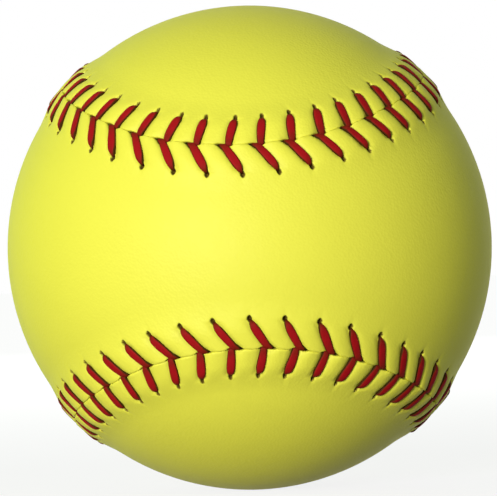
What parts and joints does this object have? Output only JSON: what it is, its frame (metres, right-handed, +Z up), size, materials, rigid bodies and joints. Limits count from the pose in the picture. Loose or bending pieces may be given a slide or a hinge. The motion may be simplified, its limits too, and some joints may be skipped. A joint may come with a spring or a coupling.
{
  "type": "softball",
  "caption": "Ball with a moulded core under two interlocked yellow leather panels, sewn with two red threads in raised chevron stitches.",
  "frame": {"origin": "the centre of the ball", "axes": "+Z is up and +Y runs away from the viewer of the picture. The front panel's waist faces -Y, with its lobes at +X and -X. The back panel's waist faces +Y, with its lobes at +Z and -Z. A quarter turn about Y swaps the two panels when it is mirrored front to back."},
  "size_m": [0.097, 0.097, 0.097],
  "materials": {
    "core": "moulded polyurethane skin",
    "cement": "dried latex cement",
    "cover": "smooth optic yellow leather with a fine grain",
    "thread": "waxed red cotton thread"
  },
  "bodies": {
    "root": {"core": "core", "cement_film": "cement", "front_panel": "cover", "back_panel": "cover", "thread_one": "thread", "thread_two": "thread"}
  },
  "joints": []
}
